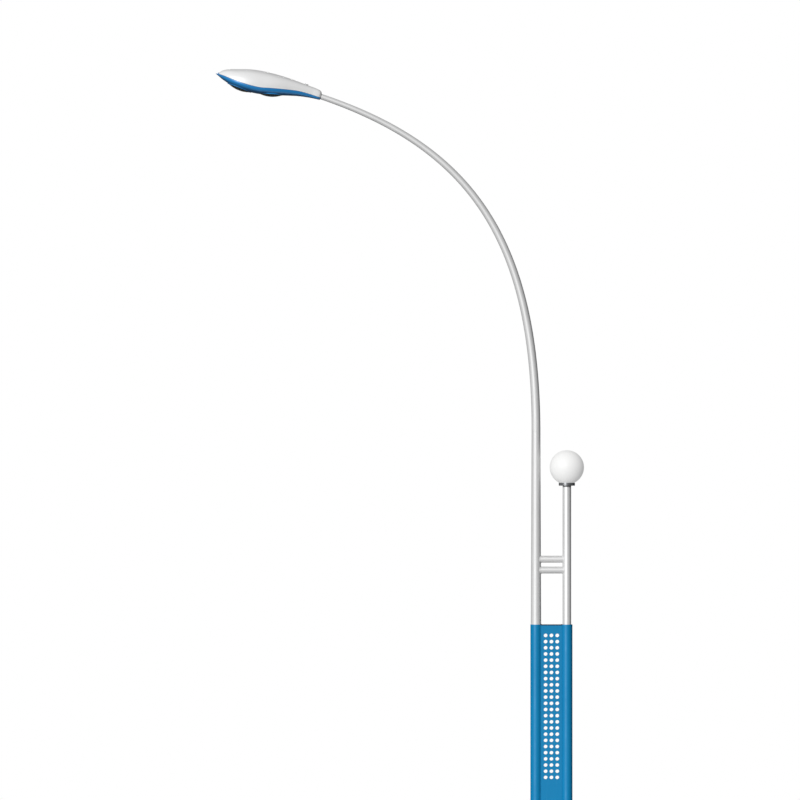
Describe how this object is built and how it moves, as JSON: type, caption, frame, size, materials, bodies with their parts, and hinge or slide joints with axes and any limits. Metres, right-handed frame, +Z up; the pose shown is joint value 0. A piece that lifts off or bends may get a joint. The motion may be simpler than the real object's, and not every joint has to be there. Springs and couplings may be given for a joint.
{
  "type": "street lamp post",
  "caption": "Street lamp: twin-tube column with perforated sheets, tall shaft with a curved arm and hinged luminaire, and a shorter side post with an opal globe.",
  "frame": {"origin": "centre of the base plate's underside, midway between the two column tubes", "axes": "+Z up, the arm reaches towards -X, the front with the service door faces -Y"},
  "size_m": [3.2216, 0.36, 7.9958],
  "materials": {
    "column_blue": "powder coat",
    "cap_navy": "powder coat",
    "pole_silver": "satin paint",
    "steel": "satin",
    "rubber": "matte",
    "cable_sheath": "satin",
    "black_plastic": "matte",
    "collar_grey": "satin",
    "white_plastic": "matte",
    "ceramic_white": "glazed",
    "brass": "satin",
    "opal_globe": "gloss",
    "bulb_glass": "gloss",
    "luminaire_blue": "gloss paint",
    "cover_grey": "gloss paint",
    "cast_aluminium": "cast",
    "lens_glass": "gloss",
    "reflector_bright": "polished",
    "board_white": "matte"
  },
  "bodies": {
    "post": {"base_plate": "column_blue", "base_gussets": "column_blue", "sleeve_left": "column_blue", "sleeve_right": "column_blue", "web_front": "column_blue", "web_rear": "column_blue", "web_cap": "cap_navy", "web_diaphragms": "column_blue", "door_frame": "column_blue", "door_hinge_pins": "steel", "door_gasket": "rubber", "equipment_plate": "steel", "fuse_box": "black_plastic", "breaker": "white_plastic", "earth_bolt": "brass", "cable_grommets": "rubber", "pole_cable": "cable_sheath", "post_cable": "cable_sheath", "pole_stops": "steel", "post_bushes": "rubber", "sleeve_screws": "steel", "main_shaft": "pole_silver", "joint_sleeve": "steel", "curved_arm": "pole_silver", "side_post": "pole_silver", "crossbar_lower": "pole_silver", "crossbar_upper": "pole_silver", "globe_fitter": "collar_grey", "globe_gasket": "rubber", "globe": "opal_globe", "globe_screws": "steel", "lamp_holder": "ceramic_white", "globe_bulb": "bulb_glass", "lamp_housing": "luminaire_blue", "cover_gasket": "rubber", "cover_hinge": "luminaire_blue", "cover_hinge_pin": "steel", "latch_bracket": "steel", "clamp_lower": "cast_aluminium", "clamp_upper": "cast_aluminium", "clamp_bolts": "steel", "gear_tray": "steel", "led_driver": "cast_aluminium", "luminaire_terminal": "white_plastic", "lens_frames": "luminaire_blue", "lens_front": "lens_glass", "lens_rear": "lens_glass", "lens_gaskets": "rubber", "reflectors": "reflector_bright", "led_boards": "board_white", "heat_sinks": "cast_aluminium", "lens_screws": "steel"},
    "access_door": {"access_door": "column_blue"},
    "door_lock": {"door_lock": "steel"},
    "breaker_lever": {"breaker_lever": "black_plastic"},
    "top_cover": {"top_cover": "cover_grey", "cover_hinge_leaf": "steel"},
    "cover_latch": {"cover_latch": "steel"}
  },
  "joints": [
    {"name": "door_hinge", "type": "hinge", "parent": "post", "child": "access_door", "pos_m": [-0.0862, -0.0343, 0.85], "axis": [0, 0, -1], "range_deg": [0, 110]},
    {"name": "lock_turn", "type": "hinge", "parent": "access_door", "child": "door_lock", "pos_m": [0.05, -0.03, 0.85], "axis": [0, 1, 0], "range_deg": [0, 90]},
    {"name": "breaker_switch", "type": "hinge", "parent": "post", "child": "breaker_lever", "pos_m": [0, -0.0003, 0.775], "axis": [1, 0, 0], "range_deg": [-25, 25]},
    {"name": "cover_hinge", "type": "hinge", "parent": "post", "child": "top_cover", "pos_m": [-2.91348, 0, 7.95986], "axis": [0, -1, 0], "range_deg": [0, 75]},
    {"name": "latch_turn", "type": "hinge", "parent": "top_cover", "child": "cover_latch", "pos_m": [-2.14508, 0, 7.85251], "axis": [0.3223, 0, 0.9466], "range_deg": [0, 90]}
  ]
}
